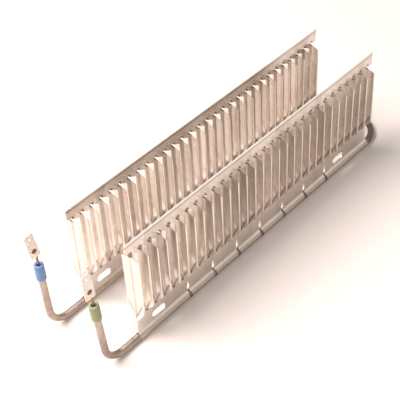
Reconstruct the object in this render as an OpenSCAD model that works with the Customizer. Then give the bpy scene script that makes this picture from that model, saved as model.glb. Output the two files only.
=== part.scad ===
// Finned tubular heating element: one sheathed tube bent into a flat U, with an
// upright fin sheet folded round each leg and a tab terminal on each raised end.
// Millimetres. X runs along the legs, Y across them and Z up. The origin is under
// the middle of the element, where the two folded sheets rest on the ground.

/* [Tube] */
// Distance between the centre lines of the two legs
tube_spacing = 66; // [40:1:120]
// Outer diameter of the steel sheath
sheath_d = 6.5; // [5.5:0.1:9]
// Wall of the steel sheath
sheath_wall = 0.6; // [0.4:0.05:0.9]
// Loss of wall on each side of the tube where it is bent
bend_draw = 0.02; // [0.02:0.01:0.06]
// Bare tube between the fin sheet and the upward bend
tail_len = 18.3; // [2:0.5:60]
// Centre line radius of the upward bend
bend_r = 19; // [10:0.5:40]
// Straight tube above the upward bend
leg_len = 53.5; // [25:0.5:120]
// Outward lean of the front raised end, degrees from upright
front_leg_lean = 4; // [0:0.5:15]
// Outward lean of the rear raised end, degrees from upright
rear_leg_lean = 1.5; // [0:0.5:15]

/* [Fins] */
// Number of fins on each sheet
fin_count = 30; // [8:1:60]
// Distance from one fin to the next
fin_pitch = 11.13; // [10.4:0.01:16]
// Reach of a fin on each side of the sheet's middle plane
fin_reach = 9.06; // [5:0.02:9.4]
// Length of a fin's straight free edge
fin_edge_len = 58.1; // [20:0.1:90]
// Drop of a fin's top edge from its root to its free edge
fin_top_drop = 4.6; // [1:0.1:8]
// Rise of a fin's bottom edge from its root to its free edge
fin_bottom_rise = 10; // [4:0.2:30]
// Inside radius of the bend at a fin's root
fin_bend_r = 0.3; // [0.1:0.05:0.6]
// Radius of the relief hole at the upper end of a fin's root
relief_r = 1.2; // [0.6:0.1:1.4]
// Radius of the smaller relief hole at the lower end of a fin's root
foot_relief_r = 0.5; // [0.3:0.05:1.2]
// Distance of the relief holes from the fold at the root
relief_offset = 0.6; // [0:0.1:1]

/* [Sheet] */
// Thickness of the aluminium sheet
sheet_t = 0.5; // [0.3:0.05:0.7]
// Gap between the folded sheet and the tube
wrap_gap = 0.02; // [0:0.01:0.1]
// Height of the throat, from the tube's centre to where the two layers meet
throat_h = 5.8; // [5.2:0.1:8]
// Height of the plain band above the tube's centre
band_h = 23.5; // [16:0.5:60]
// Height of the plain rail above the fins
rail_h = 11.2; // [6:0.2:30]
// Height of the hem on top of the rail
hem_h = 2.3; // [1.2:0.1:5]
// Bare end of the front rail before its hem starts
front_hem_start = 0; // [0:0.5:12]
// Bare end of the rear rail before its hem starts
rear_hem_start = 5; // [0:0.5:12]
// Width of the strip before the first fin
end_strip = 1.6; // [1.2:0.1:8]
// Reach of the rail past the sheet's left end
rail_left = 3.6; // [0.5:0.1:12]
// Reach of the rail past the last fin
rail_right = 7.2; // [3:0.1:9]
// Reach of the band past the last fin
band_right = 3; // [1:0.1:5]
// Reach of the tube wrap past the last fin
wrap_right = 6.6; // [5.2:0.1:12]
// Height of the step at the rail's right end
rail_end_step = 1.3; // [0.5:0.1:2]
// Length of the slanted corner at the rail's right end
rail_end_slant = 2.2; // [0.5:0.1:2.6]
// Depth of the cut-out below the first fin's root
end_cut_h = 3.9; // [1:0.1:6]
// Length of the cut-out below the first fin's root
end_cut_len = 7.4; // [3:0.1:8.4]

/* [Holes and joints] */
// End-to-end length of a fixing slot
slot_len = 16; // [8:0.5:24]
// Width of a fixing slot
slot_w = 7; // [3:0.1:7.4]
// Height of the fixing slots above the tube's centre
slot_z = 11.6; // [9.6:0.1:14]
// Distance of the left slot's centre from the sheet's left end
slot_from_left = 25.8; // [14:0.2:40]
// Distance of the right slot's centre from the last fin
slot_from_last = 42.1; // [20:0.2:50]
// Number of slits that part the wrap into lengths
joint_count = 7; // [1:1:9]
// Distance from one slit to the next
joint_pitch = 32.9; // [20:0.1:33.2]
// Distance of the first slit from the sheet's left end
joint_first = 63; // [42:0.5:64]
// Width of a slit
joint_w = 1.9; // [0.5:0.1:3]
// Radius of the round foot of the drop-shaped hole above a slit
drop_r = 1.6; // [0.8:0.1:2]
// Height of the drop-shaped hole's round centre above the tube's centre
drop_z = 10; // [9:0.1:12]
// Height from that centre to the point of the drop-shaped hole
drop_h = 7.2; // [3:0.1:8]

/* [Terminals] */
// Outer diameter of the coloured sleeve
sleeve_d = 8.8; // [7.9:0.1:14]
// Length of the coloured sleeve
sleeve_len = 16.5; // [8:0.5:40]
// Reach of the sleeve above the sheath's end
sleeve_over = 3.5; // [1:0.5:9]
// Gap between the sleeve and the sheath
sleeve_gap = 0.02; // [0:0.01:0.2]
// Diameter of the sleeve's mouth above the sheath's end
mouth_d = 4.4; // [3.2:0.1:6]
// Chamfer on the sleeve's outer edges
sleeve_chamfer = 0.4; // [0.1:0.05:0.6]
// Diameter of a terminal pin
pin_d = 2.3; // [1.6:0.1:3]
// Length of a terminal pin inside the sheath
pin_inside = 45; // [15:0.5:52]
// Reach of a terminal pin above the sheath's end
pin_above = 22.5; // [12:0.5:40]
// Chamfer on a terminal pin's top
pin_chamfer = 0.3; // [0.1:0.05:0.5]
// Length of the end seal
seal_len = 6; // [3:0.5:12]
// Depth of the end seal below the sheath's end
seal_recess = 0.8; // [0:0.1:2]
// Wire thickness of the resistance coil
coil_wire = 0.35; // [0.2:0.05:0.5]
// Length of pin that the resistance coil grips
coil_grip = 6; // [3:0.5:10]

/* [Tab] */
// Length of a tab
tab_len = 26.8; // [18:0.1:40]
// Thickness of a tab
tab_t = 0.8; // [0.5:0.1:1.2]
// Width of the blade
blade_w = 9; // [4.8:0.1:9.8]
// Length of the blade above the shoulders
blade_len = 10; // [6:0.5:14]
// Height of the sloping shoulders
shoulder_h = 1; // [0.5:0.1:4]
// Width below the shoulders
tab_w = 10; // [9.2:0.1:14]
// Bevel at the blade's tip
tip_bevel = 1.6; // [0.3:0.1:2.2]
// Bevel at the lower corners
foot_bevel = 0.8; // [0.3:0.1:1.5]
// Diameter of the hole in the blade
tip_hole_d = 1.7; // [1:0.1:3]
// Distance of that hole from the tip
tip_hole_from = 5; // [3:0.1:6]
// Diameter of the keyhole
keyhole_d = 5; // [2:0.1:6]
// Height of the keyhole above the tab's foot
keyhole_z = 7.5; // [4:0.1:9]
// Width of the slit below the keyhole
slit_w = 0.5; // [0.4:0.1:1.5]
// Distance of the slit from the tab's middle
slit_offset = 1.6; // [0.8:0.1:2]
// Overlap of the tab's foot and the pin
weld_len = 8.5; // [3:0.5:12]
// Depth of the flat pressed into the pin at the weld
weld_flat = 0.15; // [0.05:0.05:0.4]
// Gap between the weld nugget and the keyhole
nugget_gap = 0.02; // [0:0.01:0.1]
// Depth of the weld nugget's face below the tab's face
nugget_sink = 0.2; // [0.1:0.05:0.4]
// Distance of the tab's middle from the pin
tab_shift = 1.7; // [1:0.1:3]
// Outward lean of the front tab, degrees from upright
front_tab_lean = 4; // [0:0.5:15]
// Outward lean of the rear tab, degrees from upright
rear_tab_lean = 9; // [0:0.5:15]

/* [Hidden] */
$fn = 64;

FRONT = -1;
REAR = 1;

// radii, from the tube's centre line outwards
sheath_r = sheath_d / 2;
bore_r = sheath_r - sheath_wall;
pin_r = pin_d / 2;
coil_r = pin_r + coil_wire;
wrap_in_r = sheath_r + wrap_gap;
wrap_r = wrap_in_r + sheet_t;
axis_z = wrap_r;

// heights above the tube's centre line
root_low_z = band_h;
edge_low_z = root_low_z + fin_bottom_rise;
edge_high_z = edge_low_z + fin_edge_len;
root_high_z = edge_high_z + fin_top_drop;
rail_low_z = root_high_z + relief_r;
rail_high_z = rail_low_z + rail_h;
hem_round_r = 1.5 * sheet_t;

// places along the sheet, from its left end
fold_w = sheet_t + fin_bend_r;
window_w = PI / 2 * (fin_bend_r + sheet_t / 2) + fin_reach - fold_w;
last_hinge_x = hinge_x(fin_count - 1);
rail_end_x = last_hinge_x + rail_right;
band_end_x = last_hinge_x + band_right;
wrap_end_x = last_hinge_x + wrap_right;
foot_relief_z = root_low_z + relief_offset * fin_bottom_rise / window_w;
slot_xs = [slot_from_left, last_hinge_x - slot_from_last];

// the throat: a straight side that is tangent to the wrap's outside
throat_angle = atan2(throat_h, sheet_t) - acos(wrap_r / norm([sheet_t, throat_h]));

// the pin carries the tab
tab_foot_z = leg_len + pin_above - weld_len;
weld_z = tab_foot_z + weld_len / 2;
tab_outline = [
    [-tab_w / 2 + foot_bevel, 0],
    [tab_w / 2 - foot_bevel, 0],
    [tab_w / 2, foot_bevel],
    [tab_w / 2, tab_len - blade_len - shoulder_h],
    [blade_w / 2, tab_len - blade_len],
    [blade_w / 2, tab_len - tip_bevel],
    [blade_w / 2 - tip_bevel, tab_len],
    [-blade_w / 2 + tip_bevel, tab_len],
    [-blade_w / 2, tab_len - tip_bevel],
    [-blade_w / 2, tab_len - blade_len],
    [-tab_w / 2, tab_len - blade_len - shoulder_h],
    [-tab_w / 2, foot_bevel]
];

// overall reach along X, from which the origin is put in the middle
left_x = min(tab_left_x(front_leg_lean, front_tab_lean), tab_left_x(rear_leg_lean, rear_tab_lean));
right_x = wrap_end_x + tube_spacing / 2 + sheath_r - bend_draw;
middle_x = (left_x + right_x) / 2;

// small overshoot for cuts that pass right through
cut = 1;
// depth by which the weld nugget roots in the pin
nugget_root = 0.1;
// depth by which the throat's sides end inside the round of the wrap
throat_tuck = 0.1;
// length by which a bend's drawn wall runs into the straight wall beside it
bend_lap = 0.1;

// Place of the outer side of a fin's root, from the sheet's left end
function hinge_x(i) = end_strip + i * fin_pitch;

// Middle of a raised end's tube, a distance h above the bend
function leg_x(lean, h) = -tail_len - bend_r * cos(lean) - h * sin(lean);

// Lowest X of a tab that leans by tab_lean on a raised end that leans by leg_lean
function tab_left_x(leg_lean, tab_lean) =
    leg_x(leg_lean, weld_z)
    + min([for (p = tab_outline) (p.x - tab_shift) * cos(tab_lean) - (p.y - weld_len / 2) * sin(tab_lean)]);

// Moves what is drawn from the sheet's left end to the element's own origin
module centred() {
    translate([-middle_x, 0, axis_z]) children();
}

// Section of a tube
module ring(outer_r, inner_r) {
    difference() {
        circle(r = outer_r);
        if (inner_r > 0) circle(r = inner_r);
    }
}

// Puts +Z up the raised end of one leg, from the top of its bend
module on_leg(side, lean) {
    translate([leg_x(lean, 0), side * tube_spacing / 2, bend_r * (1 - sin(lean))])
        rotate([0, -lean, 0]) children();
}

// Puts the X and Y plane on the back face of a tab, with +Y up the tab and +Z forwards
module on_tab(side, leg_lean, tab_lean) {
    on_leg(side, leg_lean) translate([0, -pin_r + weld_flat, weld_z]) rotate([0, leg_lean - tab_lean, 0])
        translate([-tab_shift, 0, -weld_len / 2]) rotate([90, 0, 0]) children();
}

// A bend from one angle to another in the X and Y plane, about the origin. Its wall is
// drawn a little thinner than the straight wall and starts just inside it.
module bend(radius, from, to, outer_r, inner_r) {
    lap = bend_lap / radius * 180 / PI;
    rotate([0, 0, from - lap]) rotate_extrude(angle = to - from + 2 * lap)
        translate([radius, 0]) ring(outer_r - bend_draw, inner_r > 0 ? inner_r + bend_draw : 0);
}

// One upward bend
module leg_bend(side, lean, outer_r, inner_r) {
    translate([-tail_len, side * tube_spacing / 2, bend_r])
        rotate([90, 0, 0]) bend(bend_r, 180 + lean, 270, outer_r, inner_r);
}

// One long straight stretch between the upward bend and the U-bend
module long_leg(side, outer_r, inner_r) {
    translate([-tail_len, side * tube_spacing / 2, 0])
        rotate([0, 90, 0]) linear_extrude(wrap_end_x + tail_len) ring(outer_r, inner_r);
}

// The whole run of the tube, up to a height above each upward bend
module tube_run(outer_r, inner_r, height) {
    for (leg = [[FRONT, front_leg_lean], [REAR, rear_leg_lean]]) {
        on_leg(leg[0], leg[1]) linear_extrude(height) ring(outer_r, inner_r);
        leg_bend(leg[0], leg[1], outer_r, inner_r);
        long_leg(leg[0], outer_r, inner_r);
    }
    translate([wrap_end_x, 0, 0]) bend(tube_spacing / 2, -90, 90, outer_r, inner_r);
}

// Outline of the flat part of a fin sheet, without its openings
module sheet_outline() {
    polygon([
        [0, throat_h],
        [0, rail_low_z],
        [-rail_left, rail_low_z],
        [-rail_left, rail_high_z - hem_round_r],
        [rail_end_x, rail_high_z - hem_round_r],
        [rail_end_x, rail_low_z - rail_end_step],
        [rail_end_x - rail_end_slant, rail_low_z - 2 * rail_end_step],
        [last_hinge_x - fold_w, rail_low_z - relief_r],
        [last_hinge_x - fold_w, root_low_z],
        [band_end_x, root_low_z],
        [band_end_x, (slot_z + root_low_z) / 2],
        [wrap_end_x - (wrap_end_x - band_end_x) / 2, throat_h]
    ]);
}

// Opening that a fin's two flaps are lanced out of
module window() {
    polygon([
        [0, root_high_z],
        [window_w, edge_high_z],
        [window_w, edge_low_z],
        [0, root_low_z]
    ]);
}

// Drop-shaped hole with its point upwards
module drop_hole() {
    translate([0, drop_z]) circle(r = drop_r);
    polygon([[-drop_r, drop_z], [drop_r, drop_z], [0, drop_z + drop_h]]);
}

module sheet_openings() {
    for (i = [0 : fin_count - 1]) translate([hinge_x(i) - fold_w, 0]) {
        if (i < fin_count - 1) window();
        translate([relief_offset, root_high_z]) circle(r = relief_r);
        translate([relief_offset, foot_relief_z]) circle(r = foot_relief_r);
    }
    translate([end_strip - fold_w, root_low_z - end_cut_h]) square([end_cut_len, end_cut_h + fin_bottom_rise]);
    for (x = slot_xs) translate([x, slot_z]) {
        square([slot_len - slot_w, slot_w], center = true);
        for (end = [-1, 1]) translate([end * (slot_len - slot_w) / 2, 0]) circle(d = slot_w);
    }
    for (j = [0 : joint_count - 1]) translate([joint_first + j * joint_pitch, 0]) {
        drop_hole();
        translate([-joint_w / 2, 0]) square([joint_w, drop_z]);
    }
}

// Flat part of a fin sheet: two layers pressed together
module flat_sheet() {
    rotate([90, 0, 0]) linear_extrude(2 * sheet_t, center = true) difference() {
        sheet_outline();
        sheet_openings();
    }
}

// Section of the fold round the tube, up to where the two layers meet
module wrap_section() {
    foot = [cos(throat_angle), sin(throat_angle)];
    mirrored_foot = [-foot.x, foot.y];
    outer_foot_r = wrap_r - throat_tuck;
    inner_foot_r = wrap_in_r - throat_tuck;
    difference() {
        union() {
            circle(r = wrap_r);
            polygon([[0, 0], outer_foot_r * foot, [sheet_t, throat_h], [-sheet_t, throat_h], outer_foot_r * mirrored_foot]);
        }
        circle(r = wrap_in_r);
        polygon([[0, 0], inner_foot_r * foot, [0, wrap_in_r / foot.y], inner_foot_r * mirrored_foot]);
    }
}

// Extrudes a section drawn in Y and Z from one X to another
module along_x(x_from, x_to) {
    translate([x_from, 0, 0]) rotate([90, 0, 90]) linear_extrude(x_to - x_from) children();
}

// Fold round the tube, parted by slits, with its slanted right end
module wrap() {
    difference() {
        along_x(0, wrap_end_x) wrap_section();
        for (j = [0 : joint_count - 1])
            translate([joint_first + j * joint_pitch - joint_w / 2, -wrap_r - cut, -wrap_r - cut])
                cube([joint_w, 2 * (wrap_r + cut), wrap_r + throat_h + 2 * cut]);
        rotate([90, 0, 0]) linear_extrude(2 * (wrap_r + cut), center = true)
            polygon([
                [wrap_end_x, -wrap_r],
                [wrap_end_x - (wrap_end_x - band_end_x) / 2, throat_h],
                [wrap_end_x - (wrap_end_x - band_end_x) / 2, throat_h + cut],
                [wrap_end_x + cut, throat_h + cut],
                [wrap_end_x + cut, -wrap_r]
            ]);
    }
}

// Hem: the rear layer folded forwards over the front one
module hem(hem_start) {
    along_x(-rail_left + hem_start, rail_end_x) translate([-sheet_t / 2, rail_high_z]) {
        translate([0, -hem_round_r]) circle(r = hem_round_r);
        translate([-hem_round_r, -hem_h]) square([2 * hem_round_r, hem_h - hem_round_r]);
    }
}

// One fin: a front flap and a rear flap, each turned out of its own layer
module fin() {
    intersection() {
        linear_extrude(rail_high_z) for (side = [FRONT, REAR]) scale([1, side]) {
            translate([-sheet_t, fold_w]) square([sheet_t, fin_reach - fold_w]);
            translate([-fold_w, fold_w]) intersection() {
                ring(fold_w, fin_bend_r);
                translate([0, -fold_w]) square(fold_w);
            }
        }
        along_x(-fold_w, 0) polygon([
            [-fin_reach, edge_low_z],
            [0, root_low_z + foot_relief_r],
            [fin_reach, edge_low_z],
            [fin_reach, edge_high_z],
            [0, root_high_z - relief_r],
            [-fin_reach, edge_high_z]
        ]);
    }
}

module fin_sheet(side, hem_start) {
    centred() translate([0, side * tube_spacing / 2, 0]) {
        flat_sheet();
        wrap();
        hem(hem_start);
        for (i = [0 : fin_count - 1]) translate([hinge_x(i), 0, 0]) fin();
    }
}

module fin_sheet_front() {
    color([0.80, 0.73, 0.67]) fin_sheet(FRONT, front_hem_start);
}

module fin_sheet_rear() {
    color([0.85, 0.77, 0.70]) fin_sheet(REAR, rear_hem_start);
}

module sheath() {
    color([0.66, 0.60, 0.55]) centred() tube_run(sheath_r, bore_r, leg_len);
}

// Magnesia round the pins and the coil, and inside the coil
module magnesia_fill() {
    color([0.92, 0.90, 0.86]) centred() {
        coil_top = leg_len - pin_inside + coil_grip;
        seal_low = leg_len - seal_recess - seal_len;
        tube_run(bore_r, coil_r, coil_top);
        for (leg = [[FRONT, front_leg_lean], [REAR, rear_leg_lean]])
            on_leg(leg[0], leg[1]) translate([0, 0, coil_top])
                linear_extrude(seal_low - coil_top) ring(bore_r, pin_r);
        tube_run(pin_r, 0, leg_len - pin_inside);
    }
}

// The coil's envelope: a thin tube where the wire's turns lie
module resistance_coil() {
    color([0.55, 0.50, 0.45]) centred() tube_run(coil_r, pin_r, leg_len - pin_inside + coil_grip);
}

// A pin, flattened where the tab lies on it, with the weld nugget that fills the tab's keyhole
module terminal_pin(side, leg_lean, tab_lean) {
    centred() {
        on_leg(side, leg_lean) difference() {
            rotate_extrude() polygon([
                [0, leg_len - pin_inside],
                [pin_r, leg_len - pin_inside],
                [pin_r, leg_len + pin_above - pin_chamfer],
                [pin_r - pin_chamfer, leg_len + pin_above],
                [0, leg_len + pin_above]
            ]);
            translate([-pin_d, -pin_d, tab_foot_z - weld_len / 4])
                cube([2 * pin_d, pin_d - pin_r + weld_flat, 2 * weld_len]);
        }
        on_tab(side, leg_lean, tab_lean) translate([0, keyhole_z, -nugget_root])
            cylinder(d = keyhole_d - 2 * nugget_gap, h = nugget_root + tab_t - nugget_sink);
    }
}

module terminal_pin_front() {
    color([0.62, 0.42, 0.34]) terminal_pin(FRONT, front_leg_lean, front_tab_lean);
}

module terminal_pin_rear() {
    color([0.62, 0.42, 0.34]) terminal_pin(REAR, rear_leg_lean, rear_tab_lean);
}

module end_seal(side, lean) {
    centred() on_leg(side, lean) translate([0, 0, leg_len - seal_recess - seal_len])
        linear_extrude(seal_len) ring(bore_r, pin_r);
}

module end_seal_front() {
    color([0.30, 0.24, 0.22]) end_seal(FRONT, front_leg_lean);
}

module end_seal_rear() {
    color([0.30, 0.24, 0.22]) end_seal(REAR, rear_leg_lean);
}

module sleeve(side, lean) {
    inner_r = sheath_r + sleeve_gap;
    outer_r = sleeve_d / 2;
    sheath_end = sleeve_len - sleeve_over + sleeve_gap;
    centred() on_leg(side, lean) translate([0, 0, leg_len + sleeve_over - sleeve_len])
        rotate_extrude() polygon([
            [inner_r, 0],
            [outer_r - sleeve_chamfer, 0],
            [outer_r, sleeve_chamfer],
            [outer_r, sleeve_len - sleeve_chamfer],
            [outer_r - sleeve_chamfer, sleeve_len],
            [mouth_d / 2, sleeve_len],
            [mouth_d / 2, sheath_end],
            [inner_r, sheath_end]
        ]);
}

module sleeve_green() {
    color([0.52, 0.60, 0.38]) sleeve(FRONT, front_leg_lean);
}

module sleeve_blue() {
    color([0.33, 0.51, 0.76]) sleeve(REAR, rear_leg_lean);
}

module tab(side, leg_lean, tab_lean) {
    centred() on_tab(side, leg_lean, tab_lean) linear_extrude(tab_t) difference() {
        polygon(tab_outline);
        translate([0, tab_len - tip_hole_from]) circle(d = tip_hole_d);
        translate([0, keyhole_z]) circle(d = keyhole_d);
        translate([-slit_offset - slit_w / 2, -cut]) square([slit_w, keyhole_z + cut]);
    }
}

module tab_front() {
    color([0.85, 0.80, 0.74]) tab(FRONT, front_leg_lean, front_tab_lean);
}

module tab_rear() {
    color([0.85, 0.80, 0.74]) tab(REAR, rear_leg_lean, rear_tab_lean);
}

fin_sheet_front();
fin_sheet_rear();
sheath();
magnesia_fill();
resistance_coil();
terminal_pin_front();
terminal_pin_rear();
end_seal_front();
end_seal_rear();
sleeve_green();
sleeve_blue();
tab_front();
tab_rear();
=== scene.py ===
# %% [markdown]
# # A finned heating element, dressed in Blender
#
# The element is one steel tube, bent into a flat U, with an upright aluminium fin sheet
# folded round each leg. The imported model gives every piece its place, so this lesson only
# adds what a photograph would show: round surfaces, small irregularities and finishes.
# Places and sizes are in metres, mostly written as millimetres times MM. X runs along the
# legs, Y across them and Z up.

# %% Load the frame
import math

import bmesh
import bpy
import numpy as np
from mathutils import Matrix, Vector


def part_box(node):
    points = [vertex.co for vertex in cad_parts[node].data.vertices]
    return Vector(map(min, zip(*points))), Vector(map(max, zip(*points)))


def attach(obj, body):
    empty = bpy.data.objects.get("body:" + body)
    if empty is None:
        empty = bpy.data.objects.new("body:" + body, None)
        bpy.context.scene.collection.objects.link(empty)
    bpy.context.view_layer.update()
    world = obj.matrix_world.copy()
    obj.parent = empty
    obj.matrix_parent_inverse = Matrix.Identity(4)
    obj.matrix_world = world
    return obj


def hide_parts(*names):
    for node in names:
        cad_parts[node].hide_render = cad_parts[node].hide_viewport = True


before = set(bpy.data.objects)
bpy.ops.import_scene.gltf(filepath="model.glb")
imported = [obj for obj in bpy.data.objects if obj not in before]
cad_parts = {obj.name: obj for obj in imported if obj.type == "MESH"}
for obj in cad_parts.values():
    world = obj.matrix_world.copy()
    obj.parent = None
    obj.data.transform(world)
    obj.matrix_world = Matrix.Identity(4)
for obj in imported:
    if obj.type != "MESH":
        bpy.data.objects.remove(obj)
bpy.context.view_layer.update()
MM = 0.001

# %% [markdown]
# The camera stands to the front left, well above the element, and looks down along it.
# A long lens keeps the two legs nearly parallel. Its direction is given by two angles and
# a small roll, because the photographer's camera wasn't quite level. The three angles are
# turned into three unit vectors, which are the columns of the camera's rotation.

# %% Camera
CAMERA_PLACE = np.array([-543.4, -483.3, 678.6]) * MM
CAMERA_AZIMUTH = math.radians(43.78)
CAMERA_ELEVATION = math.radians(41.72)
CAMERA_ROLL = math.radians(-3.66)
LENS_MM = 95.1
SENSOR_MM = 36.0


def camera_axes(azimuth, elevation, roll):
    """Right, up and back vectors of a camera that looks down by elevation.

    The look vector is (cos e cos a, cos e sin a, -sin e). The level right vector is at
    right angles to it and to Z, and roll turns right and up about the look vector.
    """
    look = np.array([
        math.cos(elevation) * math.cos(azimuth),
        math.cos(elevation) * math.sin(azimuth),
        -math.sin(elevation),
    ])
    level = np.array([math.sin(azimuth), -math.cos(azimuth), 0.0])
    upright = np.cross(level, look)
    right = math.cos(roll) * level + math.sin(roll) * upright
    return right, np.cross(right, look), -look


def aimed(name, data, place, axes):
    """Links an object whose local X, Y and Z are the three given axes."""
    obj = bpy.data.objects.new(name, data)
    bpy.context.scene.collection.objects.link(obj)
    pose = np.eye(4)
    pose[:3, :3] = np.array(axes).T
    pose[:3, 3] = place
    obj.matrix_world = Matrix(pose.tolist())
    return obj


camera_data = bpy.data.cameras.new("camera")
camera_data.lens = LENS_MM
camera_data.sensor_width = SENSOR_MM
view_axes = camera_axes(CAMERA_AZIMUTH, CAMERA_ELEVATION, CAMERA_ROLL)
camera = aimed("camera", camera_data, CAMERA_PLACE, view_axes)
bpy.context.scene.camera = camera
bpy.context.scene.view_settings.view_transform = "Standard"
print("camera at", [round(float(c), 3) for c in CAMERA_PLACE], "lens", LENS_MM)

# %% [markdown]
# The stage is a large pale floor that the element stands on, and a warm white world. The floor
# takes the shadow, so it is a real diffuse surface. The camera sees some light added to it,
# which brings the bare floor up to the photograph's white and leaves the shadow readable.
# Light Path's Is Camera Ray does this without putting more light on the element. In the
# same way, the metal's reflections see a brighter world than the one that lights the
# floor: a bright room's white walls, whose light the shadow hardly gets.

# %% Floor and world
FLOOR_SIZE = 6.0
FLOOR_COLOR = (0.88, 0.775, 0.735, 1.0)
FLOOR_LIFT = 0.10
LIFT_COLOR = (1.0, 0.99, 0.98, 1.0)
WORLD_COLOR = (1.0, 0.95, 0.91, 1.0)
WORLD_STRENGTH = 0.20
WORLD_IN_METAL = 0.62


def new_tree(material):
    """Empties a material's or world's node tree and returns it."""
    material.use_nodes = True
    material.node_tree.nodes.clear()
    return material.node_tree


def floor_material():
    """Diffuse floor plus a little light that only the camera sees."""
    material = bpy.data.materials.new("studio_floor")
    tree = new_tree(material)
    diffuse = tree.nodes.new("ShaderNodeBsdfDiffuse")
    diffuse.inputs["Color"].default_value = FLOOR_COLOR
    lift = tree.nodes.new("ShaderNodeEmission")
    lift.inputs["Color"].default_value = LIFT_COLOR
    path = tree.nodes.new("ShaderNodeLightPath")
    strength = tree.nodes.new("ShaderNodeMath")
    strength.operation = "MULTIPLY"
    strength.inputs[1].default_value = FLOOR_LIFT
    add = tree.nodes.new("ShaderNodeAddShader")
    out = tree.nodes.new("ShaderNodeOutputMaterial")
    tree.links.new(path.outputs["Is Camera Ray"], strength.inputs[0])
    tree.links.new(strength.outputs[0], lift.inputs["Strength"])
    tree.links.new(diffuse.outputs[0], add.inputs[0])
    tree.links.new(lift.outputs[0], add.inputs[1])
    tree.links.new(add.outputs[0], out.inputs["Surface"])
    return material


floor_corners = FLOOR_SIZE / 2 * np.array([(-1, -1, 0), (1, -1, 0), (1, 1, 0), (-1, 1, 0)])
floor_mesh = bpy.data.meshes.new("floor")
floor_mesh.from_pydata(floor_corners.tolist(), [], [(0, 1, 2, 3)])
floor_mesh.materials.append(floor_material())
floor = bpy.data.objects.new("floor", floor_mesh)
bpy.context.scene.collection.objects.link(floor)

world = bpy.data.worlds.new("studio")
bpy.context.scene.world = world
world_tree = new_tree(world)
world_light = world_tree.nodes.new("ShaderNodeBackground")
world_light.inputs["Color"].default_value = WORLD_COLOR
world_path = world_tree.nodes.new("ShaderNodeLightPath")
world_mix = world_tree.nodes.new("ShaderNodeMapRange")
world_mix.inputs["To Min"].default_value = WORLD_STRENGTH
world_mix.inputs["To Max"].default_value = WORLD_IN_METAL
world_tree.links.new(world_path.outputs["Is Glossy Ray"], world_mix.inputs["Value"])
world_tree.links.new(world_mix.outputs["Result"], world_light.inputs["Strength"])
world_out = world_tree.nodes.new("ShaderNodeOutputWorld")
world_tree.links.new(world_light.outputs[0], world_out.inputs["Surface"])
print("floor", FLOOR_SIZE, "m, world strength", WORLD_STRENGTH)

# %% [markdown]
# The photograph's light is a lamp high on the left and a little behind the element. The
# faces turned to it burn out to white, and the shadow of each sheet falls about half its
# height in front of it, with a wide soft border. So the key lamp is a broad panel, the
# world is dim, and a weak lamp in front opens the shaded sides enough to read.

# %% Lamps
KEY_PLACE = np.array([-0.80, 0.70, 1.40])
KEY_SIZE = 1.4
KEY_WATTS = 57.5
FILL_PLACE = np.array([-0.5, -1.4, 0.9])
FILL_SIZE = 1.2
FILL_WATTS = 4.0
TARGET = np.array([0.0, 0.0, 0.04])
KEY_COLOR = (1.0, 0.97, 0.94)
FILL_COLOR = (1.0, 0.98, 0.96)


def area_lamp(name, place, size, watts, color):
    """A square lamp of that size, whose back vector runs from TARGET to its place."""
    data = bpy.data.lights.new(name, "AREA")
    data.size = size
    data.energy = watts
    data.color = color
    back = (place - TARGET) / np.linalg.norm(place - TARGET)
    right = np.cross([0.0, 0.0, 1.0], back)
    right = right / np.linalg.norm(right)
    return aimed(name, data, place, (right, np.cross(back, right), back))


area_lamp("key_lamp", KEY_PLACE, KEY_SIZE, KEY_WATTS, KEY_COLOR)
area_lamp("fill_lamp", FILL_PLACE, FILL_SIZE, FILL_WATTS, FILL_COLOR)
print("lamps:", KEY_WATTS, "W key,", FILL_WATTS, "W fill")

# %% [markdown]
# Two effects are shared by every finish, so each is a node group, built once. *Rolled grain*
# is the fine streaking that rolls and drawing dies leave: noise that is stretched a lot
# along one direction. *Heat stain* is the slow change of tint that heat and handling leave.
# A group only puts out colours and masks, and the shader stays in each material.

# %% Shared node groups
FINE_SHARE = 0.35
STAIN_BORDER = (0.38, 0.64)


def group_with(name, inputs, outputs):
    """An empty node group with named float, vector or colour sockets."""
    group = bpy.data.node_groups.new(name, "ShaderNodeTree")
    kinds = {"float": "NodeSocketFloat", "vector": "NodeSocketVector", "color": "NodeSocketColor"}
    for label, kind, value in inputs:
        socket = group.interface.new_socket(name=label, in_out="INPUT", socket_type=kinds[kind])
        if value is not None:
            socket.default_value = value
    for label, kind in outputs:
        group.interface.new_socket(name=label, in_out="OUTPUT", socket_type=kinds[kind])
    return group, group.nodes.new("NodeGroupInput"), group.nodes.new("NodeGroupOutput")


def noise(tree, vector, scale, detail):
    """A noise texture that reads a vector socket."""
    node = tree.nodes.new("ShaderNodeTexNoise")
    node.inputs["Scale"].default_value = scale
    node.inputs["Detail"].default_value = detail
    tree.links.new(vector, node.inputs["Vector"])
    return node.outputs["Fac"]


def remap(tree, value, low, high, to_low=0.0, to_high=1.0):
    """Carries a value from low..high to to_low..to_high, with smooth ends."""
    node = tree.nodes.new("ShaderNodeMapRange")
    node.interpolation_type = "SMOOTHSTEP"
    node.inputs["From Min"].default_value = low
    node.inputs["From Max"].default_value = high
    node.inputs["To Min"].default_value = to_low
    node.inputs["To Max"].default_value = to_high
    tree.links.new(value, node.inputs["Value"])
    return node.outputs["Result"]


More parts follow.
